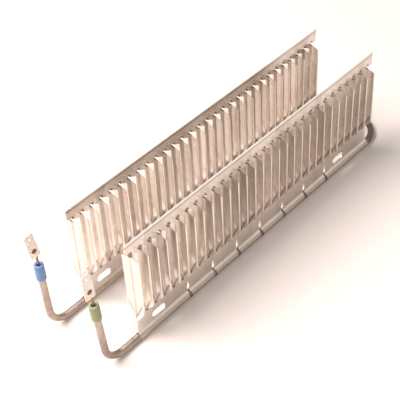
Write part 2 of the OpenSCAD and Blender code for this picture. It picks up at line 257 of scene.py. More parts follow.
def rolled_grain_group():
    """Two noises on coordinates times Stretch: Fine, of that Scale, and Streaks, of a quarter."""
    group, inside, outside = group_with(
        "rolled_grain",
        [("Vector", "vector", None),
         ("Stretch", "vector", (1.0, 1.0, 1.0)),
         ("Scale", "float", 900.0)],
        [("Streaks", "float"), ("Fine", "float")],
    )
    squeeze = group.nodes.new("ShaderNodeVectorMath")
    squeeze.operation = "MULTIPLY"
    group.links.new(inside.outputs["Vector"], squeeze.inputs[0])
    group.links.new(inside.outputs["Stretch"], squeeze.inputs[1])
    for label, detail, share in (("Streaks", 4.0, 0.25), ("Fine", 2.0, 1.0)):
        texture = group.nodes.new("ShaderNodeTexNoise")
        texture.inputs["Detail"].default_value = detail
        scale = group.nodes.new("ShaderNodeMath")
        scale.operation = "MULTIPLY"
        scale.inputs[1].default_value = share
        group.links.new(inside.outputs["Scale"], scale.inputs[0])
        group.links.new(scale.outputs[0], texture.inputs["Scale"])
        group.links.new(squeeze.outputs[0], texture.inputs["Vector"])
        group.links.new(texture.outputs["Fac"], outside.inputs[label])
    return group


def stain_group():
    """Tint: a slow noise blends Clean into Stained, and a finer one breaks its border."""
    group, inside, outside = group_with(
        "heat_stain",
        [("Vector", "vector", None),
         ("Clean", "color", (0.8, 0.8, 0.8, 1.0)),
         ("Stained", "color", (0.6, 0.5, 0.4, 1.0)),
         ("Amount", "float", 0.5)],
        [("Color", "color")],
    )
    slow = noise(group, inside.outputs["Vector"], scale=22.0, detail=3.0)
    fine = noise(group, inside.outputs["Vector"], scale=160.0, detail=4.0)
    both = group.nodes.new("ShaderNodeMix")
    both.inputs["Factor"].default_value = FINE_SHARE
    group.links.new(slow, both.inputs["A"])
    group.links.new(fine, both.inputs["B"])
    spread = remap(group, both.outputs["Result"], *STAIN_BORDER)
    amount = group.nodes.new("ShaderNodeMath")
    amount.operation = "MULTIPLY"
    group.links.new(spread, amount.inputs[0])
    group.links.new(inside.outputs["Amount"], amount.inputs[1])
    tint = group.nodes.new("ShaderNodeMix")
    tint.data_type = "RGBA"
    group.links.new(amount.outputs[0], tint.inputs["Factor"])
    group.links.new(inside.outputs["Clean"], tint.inputs["A"])
    group.links.new(inside.outputs["Stained"], tint.inputs["B"])
    group.links.new(tint.outputs["Result"], outside.inputs["Color"])
    return group


ROLLED_GRAIN = rolled_grain_group()
HEAT_STAIN = stain_group()
print("node groups:", ROLLED_GRAIN.name, HEAT_STAIN.name)

# %% [markdown]
# Every finish on the element is the same recipe with other numbers: a stained base colour,
# a roughness that follows the streaks, and a shallow bump from the fine grain. Each could
# have a node tree of its own, but one function keeps them alike and short. The numbers that
# don't change over the surface are set on the shader's own sockets. On metal the grain is
# drawn out along the way it was rolled or drawn: X for the sheath and Z for pins and tabs.

# %% Finish recipe
STREAK_RANGE = (0.3, 0.7)


def place_group(tree, group, values, vector):
    """Places a node group, sets its named inputs and feeds it the vector."""
    node = tree.nodes.new("ShaderNodeGroup")
    node.node_tree = group
    for label, value in values.items():
        node.inputs[label].default_value = value
    tree.links.new(vector, node.inputs["Vector"])
    return node


def stained_finish(name, clean, stained, amount, rough, grain, bump,
                   metallic=0.0, stretch=(1.0, 1.0, 1.0), depth=0.05 * MM):
    """A material of stained colour. Its roughness goes from rough[0] to rough[1] as the
    streaks' noise goes through STREAK_RANGE, and the fine grain is its bump, depth deep.
    """
    material = bpy.data.materials.new(name)
    tree = new_tree(material)
    coords = tree.nodes.new("ShaderNodeTexCoord").outputs["Object"]
    colors = {"Clean": (*clean, 1.0), "Stained": (*stained, 1.0), "Amount": amount}
    stain = place_group(tree, HEAT_STAIN, colors, coords)
    streaked = place_group(tree, ROLLED_GRAIN, {"Stretch": stretch, "Scale": grain}, coords)
    shader = tree.nodes.new("ShaderNodeBsdfPrincipled")
    shader.inputs["Metallic"].default_value = metallic
    relief = tree.nodes.new("ShaderNodeBump")
    relief.inputs["Strength"].default_value = bump
    relief.inputs["Distance"].default_value = depth
    roughness = remap(tree, streaked.outputs["Streaks"], *STREAK_RANGE, *rough)
    out = tree.nodes.new("ShaderNodeOutputMaterial")
    tree.links.new(streaked.outputs["Fine"], relief.inputs["Height"])
    tree.links.new(stain.outputs["Color"], shader.inputs["Base Color"])
    tree.links.new(roughness, shader.inputs["Roughness"])
    tree.links.new(relief.outputs["Normal"], shader.inputs["Normal"])
    tree.links.new(shader.outputs[0], out.inputs["Surface"])
    return material


SHEATH_STEEL = stained_finish(
    "sheath_steel_finish", clean=(0.52, 0.44, 0.39), stained=(0.30, 0.22, 0.18), amount=0.8,
    rough=(0.26, 0.42), grain=2600.0, bump=0.4, metallic=0.85, stretch=(0.2, 1.0, 1.0))
PIN_STEEL = stained_finish(
    "pin_steel_finish", clean=(0.50, 0.30, 0.22), stained=(0.30, 0.15, 0.10), amount=0.8,
    rough=(0.35, 0.55), grain=3000.0, bump=0.5, metallic=0.8, stretch=(1.0, 1.0, 0.3))
TAB_STEEL = stained_finish(
    "tab_steel_finish", clean=(0.88, 0.87, 0.83), stained=(0.70, 0.64, 0.56), amount=0.6,
    rough=(0.25, 0.45), grain=2600.0, bump=0.4, metallic=0.8, stretch=(1.0, 1.0, 0.25))
print("metals:", SHEATH_STEEL.name, PIN_STEEL.name, TAB_STEEL.name)

# %% [markdown]
# Sleeves and seals are matt. The sleeves look like silicone rubber, with a faint mottling.
# The seal is taken for a dark compound, poured in and left dull, and the filling for
# pressed powder. The same recipe serves, with no metal in it. The grain isn't drawn out,
# and stands a little deeper, like orange peel.

# %% Matt finishes
PEEL_DEPTH = 0.08 * MM
GREEN_SLEEVE = stained_finish(
    "green_sleeve_finish", clean=(0.37, 0.39, 0.20), stained=(0.24, 0.25, 0.12), amount=0.6,
    rough=(0.5, 0.7), grain=1500.0, bump=0.4, depth=PEEL_DEPTH)
BLUE_SLEEVE = stained_finish(
    "blue_sleeve_finish", clean=(0.20, 0.34, 0.60), stained=(0.14, 0.23, 0.47), amount=0.6,
    rough=(0.5, 0.7), grain=1500.0, bump=0.4, depth=PEEL_DEPTH)
DARK_SEAL = stained_finish(
    "seal_finish", clean=(0.07, 0.045, 0.035), stained=(0.03, 0.02, 0.016), amount=0.7,
    rough=(0.6, 0.9), grain=1800.0, bump=0.6, depth=PEEL_DEPTH)
MAGNESIA = stained_finish(
    "magnesia_finish", clean=(0.85, 0.83, 0.78), stained=(0.72, 0.68, 0.60), amount=0.5,
    rough=(0.8, 0.95), grain=2500.0, bump=0.6, depth=PEEL_DEPTH)
print("matt finishes:", GREEN_SLEEVE.name, BLUE_SLEEVE.name, DARK_SEAL.name, MAGNESIA.name)

# %% [markdown]
# The sheath is drawn tube. A tube is a circle carried along a path: at each point of the
# path, two vectors at right angles to it hold the circle. The path lies in upright planes
# on the raised ends and in a level plane in the U-bend, so those vectors come from simple
# cross products, and the circle never twists.

# %% Tube sizes and the sheath's path
LEG_SPACING = 66.0 * MM
SHEATH_R = 3.25 * MM
SHEATH_WALL = 0.6 * MM
BEND_R = 19.0 * MM
TAIL = 18.3 * MM
LEG_LEN = 53.5 * MM
LEAN = {"front": math.radians(4.0), "rear": math.radians(1.5)}
SIDE_Y = {"front": -LEG_SPACING / 2, "rear": LEG_SPACING / 2}

RAIL_OVERHANG = 3.6 * MM
LEG_STEPS, BEND_STEPS, STRAIGHT_STEPS, U_STEPS = 11, 25, 58, 49

sheath_low, sheath_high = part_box("sheath")
AXIS_Z = sheath_low[2] + SHEATH_R
U_START = sheath_high[0] - LEG_SPACING / 2 - SHEATH_R
SHEET_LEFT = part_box("fin_sheet_front")[0][0] + RAIL_OVERHANG


def raised_path(side):
    """Points from the sheath's end down to the long leg's start, and their tangents.

    The leg is straight and leans outwards. The bend is an arc of radius BEND_R that turns
    from the leg's direction to the level X direction.
    """
    lean = LEAN[side]
    foot = np.array([SHEET_LEFT - TAIL, SIDE_Y[side], AXIS_Z + BEND_R])
    turn = np.linspace(math.pi + lean, 1.5 * math.pi, BEND_STEPS)
    level = np.zeros(BEND_STEPS)
    arc = foot + BEND_R * np.stack([np.cos(turn), level, np.sin(turn)], axis=1)
    arc_way = np.stack([-np.sin(turn), level, np.cos(turn)], axis=1)
    down = np.array([math.sin(lean), 0.0, -math.cos(lean)])
    heights = np.linspace(LEG_LEN, 0.0, LEG_STEPS + 1)[:-1, None]
    leg = arc[0] - down * heights
    return np.vstack([leg, arc]), np.vstack([np.repeat(down[None], len(leg), axis=0), arc_way])


def sheath_path():
    """The whole path from the front sheath end to the rear one, with its tangents.

    The U-bend is a level half circle: (U_START + R cos t, R sin t), for t from -90 to 90
    degrees and R half the legs' spacing.
    """
    front, front_way = raised_path("front")
    rear, rear_way = raised_path("rear")
    along = np.linspace(front[-1, 0], U_START, STRAIGHT_STEPS + 2)[1:-1]
    straight = np.stack([
        along,
        np.full(STRAIGHT_STEPS, -LEG_SPACING / 2),
        np.full(STRAIGHT_STEPS, AXIS_Z),
    ], axis=1)
    turn = np.linspace(-math.pi / 2, math.pi / 2, U_STEPS)
    bend = np.stack([
        U_START + LEG_SPACING / 2 * np.cos(turn),
        LEG_SPACING / 2 * np.sin(turn),
        np.full(U_STEPS, AXIS_Z),
    ], axis=1)
    bend_way = np.stack([-np.sin(turn), np.cos(turn), np.zeros(U_STEPS)], axis=1)
    ahead = np.repeat([[1.0, 0.0, 0.0]], STRAIGHT_STEPS, axis=0)
    back = straight[::-1] * [1.0, -1.0, 1.0]
    points = np.vstack([front, straight, bend, back, rear[::-1]])
    ways = np.vstack([front_way, ahead, bend_way, -ahead, -rear_way[::-1]])
    return points, ways


path_points, path_ways = sheath_path()
step_lengths = np.linalg.norm(np.diff(path_points, axis=0), axis=1)
print("sheath path:", len(path_points), "points,", round(float(step_lengths.sum()) / MM, 1), "mm")

# %% [markdown]
# One helper turns a grid of points into a closed mesh. The grid's columns run round the
# ring, and its rows run along the piece. The faces are worked out from the row and column
# numbers alone, as whole arrays. Each end may close on a single middle point.

# %% Grid to mesh
SHARP_DEGREES = 35.0


def grid_object(name, rows, material, closed_rows=False, caps=False):
    """A mesh from an array of rows x columns x 3 points, closed round its columns.

    Quad (i, j) joins points (i, j), (i, j+1), (i+1, j+1), (i+1, j). With caps, the first
    and last rows are each closed by a fan to their mean point.
    """
    count, cols = rows.shape[:2]
    points = rows.reshape(-1, 3)
    i = np.arange(count if closed_rows else count - 1)[:, None]
    j = np.arange(cols)[None, :]
    right = (j + 1) % cols
    below = (i + 1) % count
    quads = np.stack([
        i * cols + j,
        i * cols + right,
        below * cols + right,
        below * cols + j,
    ], axis=-1)
    faces = quads.reshape(-1, 4).tolist()
    if caps:
        first, last = len(points), len(points) + 1
        points = np.vstack([points, rows[0].mean(axis=0), rows[-1].mean(axis=0)])
        ring = np.arange(cols)
        turned = np.roll(ring, -1)
        top = (count - 1) * cols
        faces += np.stack([turned, ring, np.full(cols, first)], axis=1).tolist()
        faces += np.stack([top + ring, top + turned, np.full(cols, last)], axis=1).tolist()
    mesh = bpy.data.meshes.new(name)
    mesh.from_pydata(points.tolist(), [], faces)
    mesh.validate()
    return finished(name, mesh, material)


def finished(name, mesh, material, sharp_degrees=SHARP_DEGREES):
    """Links a mesh as a smooth-shaded object with one material and sharp corners."""
    mesh.materials.clear()
    mesh.materials.append(material)
    mesh.polygons.foreach_set("use_smooth", np.ones(len(mesh.polygons), dtype=bool))
    mesh.set_sharp_from_angle(angle=math.radians(sharp_degrees))
    mesh.update()
    obj = bpy.data.objects.new(name, mesh)
    bpy.context.scene.collection.objects.link(obj)
    return obj


def rings(points, ways, sides, radii, cols):
    """Circles round the points: centre + radius (cos a * side + sin a * (way x side))."""
    angle = np.linspace(0.0, 2 * math.pi, cols, endpoint=False)[None, :, None]
    across = np.cross(ways, sides)
    spoke = np.cos(angle) * sides[:, None, :] + np.sin(angle) * across[:, None, :]
    return points[:, None, :] + np.asarray(radii)[:, None, None] * spoke


print("grid helpers ready, with corners sharp from", SHARP_DEGREES, "degrees")

# %% [markdown]
# The U-bend has no fins to cool it, so its steel is browned by heat. A second material
# could do that, but it would end in a hard border, and heat leaves none. So the brown is
# blended into the finish along X, from nothing before the bend to its full share in it.

# %% Browned steel
HEAT_BROWN = (0.15, 0.09, 0.06)
BROWN_FROM = U_START - 4 * MM
BROWN_TO = U_START + 5 * MM
BROWN_SHARE = 0.85


def mixed(tree, factor, first, second):
    """Blends two colours, each a socket or a plain colour."""
    node = tree.nodes.new("ShaderNodeMix")
    node.data_type = "RGBA"
    tree.links.new(factor, node.inputs["Factor"])
    for label, value in (("A", first), ("B", second)):
        if isinstance(value, tuple):
            node.inputs[label].default_value = value
        else:
            tree.links.new(value, node.inputs[label])
    return node.outputs["Result"]


def repainted(material, axis, low, high, share, tint):
    """Blends a tint into a base colour: none at low along the axis, and share at high."""
    tree = material.node_tree
    shader = next(node for node in tree.nodes if node.type == "BSDF_PRINCIPLED")
    split = tree.nodes.new("ShaderNodeSeparateXYZ")
    tree.links.new(tree.nodes.new("ShaderNodeTexCoord").outputs["Object"], split.inputs[0])
    mask = remap(tree, split.outputs[axis], low, high, 0.0, share)
    base = shader.inputs["Base Color"].links[0].from_socket
    tree.links.new(mixed(tree, mask, base, (*tint, 1.0)), shader.inputs["Base Color"])


repainted(SHEATH_STEEL, "X", BROWN_FROM, BROWN_TO, BROWN_SHARE, HEAT_BROWN)
print("steel browns from X", round(BROWN_FROM / MM, 1), "to", round(BROWN_TO / MM, 1), "mm")

# %% [markdown]
# The sheath's two mouths are open: the wall has a thickness, and the seal sits a little
# way down. So at each end the surface turns over a rounded rim and runs down inside to a
# blind floor under the seal. That makes one closed surface with no stray inner tube.

# %% Sheath
MOUTH_DEPTH = 8.0 * MM
RIM_ROUND = 0.15 * MM
TUBE_COLS = 32


def side_vectors(points, ways):
    """Level vector beside the path: Z x way in the U-bend, and plus or minus Y elsewhere."""
    side = np.zeros_like(ways)
    side[:, 1] = np.where(points[:, 1] < 0, 1.0, -1.0)
    in_bend = points[:, 0] >= U_START
    side[in_bend] = np.cross([0.0, 0.0, 1.0], ways[in_bend])
    return side


def mouth_rows(end_point, outward):
    """Centres and radii from the blind floor up the bore and over the rounded rim."""
    inner = SHEATH_R - SHEATH_WALL
    depths = np.array([MOUTH_DEPTH, MOUTH_DEPTH / 2, RIM_ROUND, 0.0, 0.0, RIM_ROUND])
    radii = np.array([inner, inner, inner, inner + RIM_ROUND, SHEATH_R - RIM_ROUND, SHEATH_R])
    return end_point - outward * depths[:, None], radii


def sheath_object(points, ways):
    """The sheath: the two mouths' rows joined to circles of SHEATH_R along the path."""
    start, start_r = mouth_rows(points[0], -ways[0])
    stop, stop_r = mouth_rows(points[-1], ways[-1])
    first_way = np.repeat(ways[:1], len(start), axis=0)
    last_way = np.repeat(ways[-1:], len(stop), axis=0)
    all_points = np.vstack([start, points[1:-1], stop[::-1]])
    all_ways = np.vstack([first_way, ways[1:-1], last_way])
    radii = np.concatenate([start_r, np.full(len(points) - 2, SHEATH_R), stop_r[::-1]])
    circles = rings(all_points, all_ways, side_vectors(all_points, all_ways), radii, TUBE_COLS)
    obj = grid_object("sheath_tube", circles, SHEATH_STEEL, caps=True)
    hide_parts("sheath")
    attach(obj, "root")
    return obj


sheath_tube = sheath_object(path_points, path_ways)
print("sheath:", len(sheath_tube.data.polygons), "faces")

# %% [markdown]
# A sleeve is a lathe shape: a profile turned round the leg's axis. Its profile is a closed
# loop, up the outside, over the rim, down the narrow mouth and down the wide bore, so the
# rows close too. The outside swells very slightly in the middle, as rubber does that was
# pushed over a tube. The green sleeve shows a faint ring below its rim, which is a groove.

# %% Sleeves
SLEEVE_R = 4.4 * MM
SLEEVE_LEN = 16.5 * MM
SLEEVE_OVER = 3.5 * MM
SLEEVE_ROUND = 0.5 * MM
SLEEVE_GAP = 0.03 * MM
MOUTH_R = 2.2 * MM
MOUTH_ROUND = 0.3 * MM
SWELL = 0.05 * MM
GROOVE_DEPTH = 0.22 * MM
GROOVE_BELOW = 2.6 * MM
GROOVE_WIDTH = 0.45 * MM
BORE_BELOW = 1.0 * MM
SLEEVE_COLS, ROUND_STEPS, SIDE_STEPS, BORE_STEPS = 48, 6, 58, 8


def leg_frame(side):
    """Top of the bend, up vector and level side vector of a raised end."""
    lean = LEAN[side]
    centre = np.array([SHEET_LEFT - TAIL, SIDE_Y[side], AXIS_Z + BEND_R])
    foot = centre - BEND_R * np.array([math.cos(lean), 0.0, math.sin(lean)])
    return foot, np.array([-math.sin(lean), 0.0, math.cos(lean)]), np.array([0.0, 1.0, 0.0])


def lathe(name, side, heights, radii, material):
    """Turns a closed profile of heights and radii round a raised end's axis."""
    foot, up, level = leg_frame(side)
    heights = np.asarray(heights)
    centres = foot + up * heights[:, None]
    ways = np.repeat(up[None], len(heights), axis=0)
    levels = np.repeat(level[None], len(heights), axis=0)
    circles = rings(centres, ways, levels, radii, SLEEVE_COLS)
    return grid_object(name, circles, material, closed_rows=True)


def sleeve_object(name, side, material, node, groove):
    """A sleeve whose outside is SLEEVE_R less SWELL, plus a half sine swell, less a narrow
    bell-shaped groove: groove * exp(-(distance / GROOVE_WIDTH)^2).
    """
    low = LEG_LEN + SLEEVE_OVER - SLEEVE_LEN
    high = LEG_LEN + SLEEVE_OVER
    inner = SHEATH_R + SLEEVE_GAP
    quarter = np.linspace(0.0, math.pi / 2, ROUND_STEPS)
    up = np.linspace(low + SLEEVE_ROUND, high - SLEEVE_ROUND, SIDE_STEPS + 2)[1:-1]
    swell = SWELL * np.sin(np.pi * (up - low) / SLEEVE_LEN)
    dip = groove * np.exp(-((up - high + GROOVE_BELOW) / GROOVE_WIDTH) ** 2)
    heights = np.concatenate([
        low + SLEEVE_ROUND * (1 - np.cos(quarter)),
        up,
        high - SLEEVE_ROUND * (1 - np.sin(quarter)),
        high - MOUTH_ROUND * (1 - np.cos(quarter)),
        [LEG_LEN + SLEEVE_GAP, LEG_LEN + SLEEVE_GAP],
        np.linspace(LEG_LEN - BORE_BELOW, low, BORE_STEPS),
    ])
    radii = np.concatenate([
        SLEEVE_R - SLEEVE_ROUND * (1 - np.sin(quarter)),
        SLEEVE_R - SWELL + swell - dip,
        SLEEVE_R - SLEEVE_ROUND * (1 - np.cos(quarter)),
        MOUTH_R + MOUTH_ROUND * (1 - np.sin(quarter)),
        [MOUTH_R, inner],
        np.full(BORE_STEPS, inner),
    ])
    obj = lathe(name, side, heights, radii, material)
    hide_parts(node)
    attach(obj, "root")
    return obj


sleeve_object("green_sleeve", "front", GREEN_SLEEVE, "sleeve_green", GROOVE_DEPTH)
sleeve_object("blue_sleeve", "rear", BLUE_SLEEVE, "sleeve_blue", 0.0)
print("sleeves:", SLEEVE_LEN / MM, "mm long")

# %% [markdown]
# The marks on a fin sheet could be painted one by one. But they repeat with the pitch of
# the fins and of the slits, so they can be worked out from a point's coordinates alone.
# *Fin marks* is a node group that knows those pitches. It gives one mask for each mark: the
# sheared free edges, where a highlight is painted, the pierced ends of the roots, where shade
# is painted, a dark line painted as a reflection that runs up from each root's foot, painted
# shadow in the crevice under the hem, the rail's fold, where a highlight is painted, painted
# shade in the slits of the wrap, the wrap itself and the band above it. Its last output is a
# tone that differs from fin to fin. Each mask fades between two distances, which the table
# gives in millimetres.

# %% Fin marks
FADES = {
    "edge": (0.4, 1.3),
    "beside the sheet": (1.2, 3.4),
    "foot spot": (1.0, 2.2),
    "top spot": (1.4, 3.1),
    "flap's root": (0.6, 1.2),
    "flap's end": (0.8, 2.5),
    "streak": (0.7, 2.1),
    "seam": (0.4, 1.0),
    "rim": (0.6, 1.0),
    "slit": (1.2, 1.9),
    "throat": (-0.3, 0.3),
    "band": (-1.0, 2.0),
}
SIDE_STEP = 0.37


def math_node(tree, operation, first, second=None, third=None):
    """A Math node whose operands are sockets or numbers."""
    node = tree.nodes.new("ShaderNodeMath")
    node.operation = operation
    for place, value in enumerate((first, second, third)):
        if isinstance(value, (int, float)):
            node.inputs[place].default_value = value
        elif value is not None:
            tree.links.new(value, node.inputs[place])
    return node.outputs[0]


def fading(tree, distance, mark):
    """1 up to the mark's first distance, and 0 past its second."""
    full, gone = FADES[mark]
    return remap(tree, distance, full * MM, gone * MM, 1.0, 0.0)


def rising(tree, distance, mark):
    """0 up to the mark's first distance, and 1 past its second."""
    none, full = FADES[mark]
    return remap(tree, distance, none * MM, full * MM, 0.0, 1.0)


def fin_marks_group():
    """Masks that repeat with the pitch of the fins and of the slits.

    Across is a point's distance from the sheet's middle plane, and Along is its distance
    along X to the nearest root. Edge is 1 where Across nears Reach. Root is 1 round the
    places (Along 0, height Foot or Top), close to the sheet. Streak is 1 on a flap near
    the line height = Foot + Slope * Across. Seam is 1 at the height Hem, and Rim just
    below Rail Top. Wrap is 1 below Throat, Slit is 1 in the wrap beside a slit, and Band
    is 1 below Foot. Tone is one random number for each fin of each sheet.
    """
    floats = ("Sheet Y", "First Root", "Pitch", "Reach", "Foot", "Top", "Hem", "Slope",
              "Rail Top", "Throat", "First Slit", "Slit Pitch", "Last Slit")
    masks = ("Edge", "Root", "Streak", "Seam", "Rim", "Slit", "Wrap", "Band", "Tone")
    group, inside, outside = group_with(
        "fin_marks",
        [("Vector", "vector", None)] + [(label, "float", None) for label in floats],
        [(label, "float") for label in masks],
    )
    given = inside.outputs
    split = group.nodes.new("ShaderNodeSeparateXYZ")
    group.links.new(given["Vector"], split.inputs[0])
    x, y, z = (split.outputs[axis] for axis in "XYZ")

    def do(operation, *values):
        return math_node(group, operation, *values)

    def apart(first, second):
        return do("ABSOLUTE", do("SUBTRACT", first, second))

    across = apart(do("ABSOLUTE", y), given["Sheet Y"])
    from_root = do("SUBTRACT", x, given["First Root"])
    fin = do("ROUND", do("DIVIDE", from_root, given["Pitch"]))
    along = do("SUBTRACT", from_root, do("MULTIPLY", fin, given["Pitch"]))
    short = do("SUBTRACT", given["Reach"], across)
    spots = []
    for height in ("Foot", "Top"):
        rise = do("SUBTRACT", z, given[height])
        squares = do("MULTIPLY_ADD", rise, rise, do("MULTIPLY", along, along))
        spots.append(fading(group, do("SQRT", squares), height.lower() + " spot"))
    line = do("MULTIPLY_ADD", given["Slope"], across, given["Foot"])
    past_root = rising(group, across, "flap's root")
    on_flap = do("MULTIPLY", past_root, rising(group, short, "flap's end"))
    from_slit = do("SUBTRACT", x, given["First Slit"])
    nearest = do("ROUND", do("DIVIDE", from_slit, given["Slit Pitch"]))
    slit = do("MAXIMUM", do("MINIMUM", nearest, given["Last Slit"]), 0.0)
    beside_slit = apart(from_slit, do("MULTIPLY", slit, given["Slit Pitch"]))
    in_wrap = fading(group, do("SUBTRACT", z, given["Throat"]), "throat")
    draw = group.nodes.new("ShaderNodeTexWhiteNoise")
    draw.noise_dimensions = "1D"
    group.links.new(do("MULTIPLY_ADD", do("SIGN", y), SIDE_STEP, fin), draw.inputs["W"])
    near_sheet = fading(group, across, "beside the sheet")
    # Edge and Rim mark where highlights are painted. Root, Seam and Slit mark where shade is
    # painted, and Streak marks a painted dark reflection.
    found = {
        "Edge": fading(group, short, "edge"),
        "Root": do("MULTIPLY", do("MAXIMUM", *spots), near_sheet),
        "Streak": do("MULTIPLY", fading(group, apart(z, line), "streak"), on_flap),
        "Seam": fading(group, apart(z, given["Hem"]), "seam"),
        "Rim": fading(group, do("SUBTRACT", given["Rail Top"], z), "rim"),
        "Slit": do("MULTIPLY", fading(group, beside_slit, "slit"), in_wrap),
        "Wrap": in_wrap,
        "Band": fading(group, do("SUBTRACT", z, given["Foot"]), "band"),
        "Tone": draw.outputs["Value"],
    }
    for label, socket in found.items():
        group.links.new(socket, outside.inputs[label])
    return group


FIN_MARKS = fin_marks_group()
print("node group:", FIN_MARKS.name, "with", len(FADES), "fades")

# %% [markdown]
# The fins' aluminium is the same recipe as the other metals, with the fin marks laid over
# it. The wrap round the tube is tinted darker and warmer than the rest. A highlight is
# painted on the free edges and on the rail's fold. Shade is painted on the pierced spots,
# in the crevice under the hem and in the slits, and the streaks are a painted dark
# reflection. The sheet keeps its rolled gloss, so each fin mirrors its neighbour, but the
# band below the fins is paler and duller. The rail's fold is also made less of a mirror,
# so it catches the lamp.

# %% Fin aluminium
FIN_METALLIC = 0.85
FIN_PITCH = 11.13 * MM
END_STRIP = 1.6 * MM
FIRST_HINGE = SHEET_LEFT + END_STRIP
FIN_REACH = 9.06 * MM
PLACES = {
    "Sheet Y": LEG_SPACING / 2,
    "First Root": FIRST_HINGE,
    "Pitch": FIN_PITCH,
    "Reach": FIN_REACH,
    "Foot": AXIS_Z + 24.0 * MM,
    "Top": AXIS_Z + 96.0 * MM,
    "Hem": AXIS_Z + 106.0 * MM,
    "Slope": 2.2,
    "Rail Top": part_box("fin_sheet_front")[1][2],
    "Throat": AXIS_Z + 3.6 * MM,
    "First Slit": -95.65 * MM,
    "Slit Pitch": 32.9 * MM,
    "Last Slit": 6.0,
}
# This bright tint is a painted highlight on the free edges and the rail's fold. It also makes the
# band below the fins paler.
BRIGHT_TINT = (1.0, 0.93, 0.85, 1.0)
# This dark tint is painted shade at the roots' pierced ends, under the hem and in the slits, and
# a painted dark reflection along the streaks.
PAINTED_DARK_TINT = (0.10, 0.045, 0.025, 1.0)
# The wrap round the tube is tinted darker and warmer than the rest of the sheet.
WRAP_TINT = (0.60, 0.50, 0.40, 1.0)
PAINTED_DARK_SHARES = {"Root": 0.85, "Seam": 0.7, "Streak": 0.6, "Slit": 0.9}
EDGE_SHARE, BAND_SHARE, WRAP_SHARE = 0.8, 0.45, 0.9
TONE_RANGE = (0.86, 1.04)
EDGE_ROUGHER, BAND_ROUGHER = -0.1, 0.14
RIM_METALLIC = 0.25


def fin_aluminium():
    """The recipe, with the fin marks on its base colour, roughness and metallic value."""
    material = stained_finish(
        "fin_aluminium_finish", clean=(0.90, 0.845, 0.79), stained=(0.76, 0.68, 0.61),
        amount=0.7, rough=(0.13, 0.25), grain=2200.0, bump=0.35, metallic=FIN_METALLIC,
        stretch=(0.15, 1.0, 1.0))
    tree = material.node_tree
    shader = next(node for node in tree.nodes if node.type == "BSDF_PRINCIPLED")
    coords = tree.nodes.new("ShaderNodeTexCoord").outputs["Object"]
    marks = place_group(tree, FIN_MARKS, PLACES, coords).outputs
    rough = shader.inputs["Roughness"].links[0].from_socket

    def share_of(label, share):
        return math_node(tree, "MULTIPLY", marks[label], share)

    toned = tree.nodes.new("ShaderNodeVectorMath")
    toned.operation = "SCALE"
    tree.links.new(shader.inputs["Base Color"].links[0].from_socket, toned.inputs[0])
    tree.links.new(remap(tree, marks["Tone"], 0.0, 1.0, *TONE_RANGE), toned.inputs["Scale"])
    color = mixed(tree, share_of("Band", BAND_SHARE), toned.outputs[0], BRIGHT_TINT)
    color = mixed(tree, share_of("Wrap", WRAP_SHARE), color, WRAP_TINT)
    # Painted highlight: the free edges and the rail's fold are blended towards the bright tint.
    painted_highlight = math_node(tree, "MAXIMUM", share_of("Edge", EDGE_SHARE), marks["Rim"])
    color = mixed(tree, painted_highlight, color, BRIGHT_TINT)
    # Painted shade and painted dark reflection: the largest of these masks blends in the dark
    # tint.
    painted_dark = 0.0
    for label, share in PAINTED_DARK_SHARES.items():
        painted_dark = math_node(tree, "MAXIMUM", painted_dark, share_of(label, share))
    tree.links.new(mixed(tree, painted_dark, color, PAINTED_DARK_TINT), shader.inputs["Base Color"])
    rough = math_node(tree, "MULTIPLY_ADD", marks["Edge"], EDGE_ROUGHER, rough)
    rough = math_node(tree, "MULTIPLY_ADD", marks["Band"], BAND_ROUGHER, rough)
    tree.links.new(rough, shader.inputs["Roughness"])
    mirror = remap(tree, marks["Rim"], 0.0, 1.0, FIN_METALLIC, RIM_METALLIC)
    tree.links.new(mirror, shader.inputs["Metallic"])
    return material


FIN_ALUMINIUM = fin_aluminium()
print("fin finish:", FIN_ALUMINIUM.name, "pitch", round(FIN_PITCH / MM, 2), "mm")

# %% [markdown]
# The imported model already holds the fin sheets, with every lanced window, relief hole and
# slot, so their meshes are copied and not drawn again. A CAD mesh is loose triangles, so
# the copy's are joined first. Many of them are long and thin, and would tip the shading of
# a flat face, so the normals at their corners are worked out anew.

# %% Copied sheets
MERGE_WITHIN = 0.002 * MM
SMOOTH_DEGREES = 32.0
TINY = 1e-18


def vertex_places(mesh):
    """The places of a mesh's vertices, as an array of vertices x 3."""
    places = np.empty(len(mesh.vertices) * 3)
    mesh.vertices.foreach_get("co", places)
    return places.reshape(-1, 3)


def move_vertices(mesh, places):
    """Gives a mesh's vertices the places in an array of vertices x 3."""
    mesh.vertices.foreach_set("co", places.ravel())
    mesh.update()


def merged_copy(node, name):
    """A copy of a CAD node's mesh with its loose triangles joined."""
    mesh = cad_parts[node].data.copy()
    mesh.name = name
    work = bmesh.new()
    work.from_mesh(mesh)
    bmesh.ops.remove_doubles(work, verts=work.verts, dist=MERGE_WITHIN)
    work.to_mesh(mesh)
    work.free()
    return mesh


